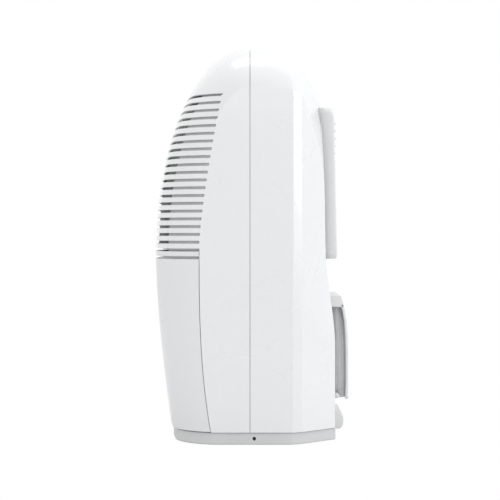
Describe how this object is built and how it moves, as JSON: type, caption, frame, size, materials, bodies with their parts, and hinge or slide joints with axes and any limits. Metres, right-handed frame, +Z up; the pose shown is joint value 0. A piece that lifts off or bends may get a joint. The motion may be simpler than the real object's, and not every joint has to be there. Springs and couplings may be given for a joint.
{
  "type": "dehumidifier",
  "caption": "Free-standing compressor dehumidifier with louvred air outlet, pull-out water tank, rear intake grille with slide-up filter and cord tidy.",
  "frame": {"origin": "on the floor plane, under the middle of the object's bounding box", "axes": "+Z up, front (louvres and water tank) towards -Y, back (intake grille and cord tidy) towards +Y, +X across"},
  "size_m": [0.34, 0.2624, 0.532],
  "materials": {
    "white_plastic": "glossy moulded",
    "base_grey": "satin moulded",
    "trim_grey": "satin moulded",
    "liner_grey": "matt moulded",
    "dark_plastic": "matt moulded",
    "black_paint": "satin enamel",
    "clear_tub": "frosted translucent",
    "foam": "closed-cell foam",
    "rubber": "matt",
    "copper": "drawn copper",
    "fin_metal": "thin stamped sheet",
    "steel": "zinc plated",
    "circuit_green": "solder mask",
    "lamp_green": "tinted clear"
  },
  "bodies": {
    "housing": {"front_shell": "white_plastic", "rear_shell": "white_plastic", "base_pan": "base_grey", "base_screw_left": "black_paint", "base_screw_right": "black_paint", "foot_front_left": "rubber", "foot_front_right": "rubber", "foot_rear_left": "rubber", "foot_rear_right": "rubber", "rear_screw_1": "steel", "rear_screw_2": "steel", "rear_screw_3": "steel", "rear_screw_4": "steel", "cord_gland": "trim_grey", "cord_tidy": "trim_grey", "cord_hook": "trim_grey", "rear_grille": "trim_grey", "control_fascia": "trim_grey", "humidistat": "liner_grey", "power_lamp": "lamp_green", "tank_full_lamp": "lamp_green", "control_board": "circuit_green", "duct_cheek_left": "liner_grey", "duct_cheek_right": "liner_grey", "duct_floor": "liner_grey", "bulkhead": "liner_grey", "tank_switch": "dark_plastic", "fan_shroud": "liner_grey", "fan_motor": "steel", "motor_bracket": "steel", "condenser_fins": "fin_metal", "condenser_tube": "copper", "evaporator_fins": "fin_metal", "evaporator_tube": "copper", "drip_tray": "liner_grey", "compressor": "black_paint", "compressor_cap": "dark_plastic", "compressor_grommet_1": "rubber", "compressor_grommet_2": "rubber", "compressor_grommet_3": "rubber", "compressor_grommet_4": "rubber", "discharge_pipe": "copper", "suction_pipe": "copper", "filter_drier": "copper", "capillary_tube": "copper", "run_capacitor": "fin_metal"},
    "tank": {"tank_front": "white_plastic", "tank_tub": "clear_tub", "float_bracket": "trim_grey", "float_pin": "steel"},
    "handle": {"tank_handle": "trim_grey"},
    "float": {"float_arm": "foam"},
    "filter": {"filter_frame": "trim_grey", "filter_mesh": "dark_plastic"},
    "dial": {"humidity_dial": "white_plastic", "dial_spindle": "steel"},
    "power_key": {"power_button": "white_plastic"},
    "boost_key": {"boost_button": "white_plastic"},
    "fan": {"fan_impeller": "dark_plastic", "motor_shaft": "steel"}
  },
  "joints": [
    {"name": "tank_slide", "type": "slide", "parent": "housing", "child": "tank", "axis": [0, -1, 0], "range_m": [0, 0.2]},
    {"name": "handle_swing", "type": "hinge", "parent": "tank", "child": "handle", "pos_m": [0, -0.052, 0.218], "axis": [1, 0, 0], "range_deg": [0, 90]},
    {"name": "float_swing", "type": "hinge", "parent": "tank", "child": "float", "pos_m": [-0.08, -0.02, 0.206], "axis": [-1, 0, 0], "range_deg": [0, 20]},
    {"name": "filter_slide", "type": "slide", "parent": "housing", "child": "filter", "axis": [0, 0, 1], "range_m": [0, 0.19]},
    {"name": "dial_turn", "type": "hinge", "parent": "housing", "child": "dial", "pos_m": [0, -0.052, 0.50967], "axis": [0, -0.6779, 0.7352], "range_deg": [-135, 135]},
    {"name": "power_press", "type": "slide", "parent": "housing", "child": "power_key", "axis": [0, 0.6779, -0.7352], "range_m": [0, 0.0015], "stiffness_N_per_m": 500, "springref_m": -0.0005},
    {"name": "boost_press", "type": "slide", "parent": "housing", "child": "boost_key", "axis": [0, 0.6779, -0.7352], "range_m": [0, 0.0015], "stiffness_N_per_m": 500, "springref_m": -0.0005},
    {"name": "fan_spin", "type": "hinge", "parent": "housing", "child": "fan", "pos_m": [0, 0.008, 0.358], "axis": [0, 1, 0], "continuous": true}
  ]
}
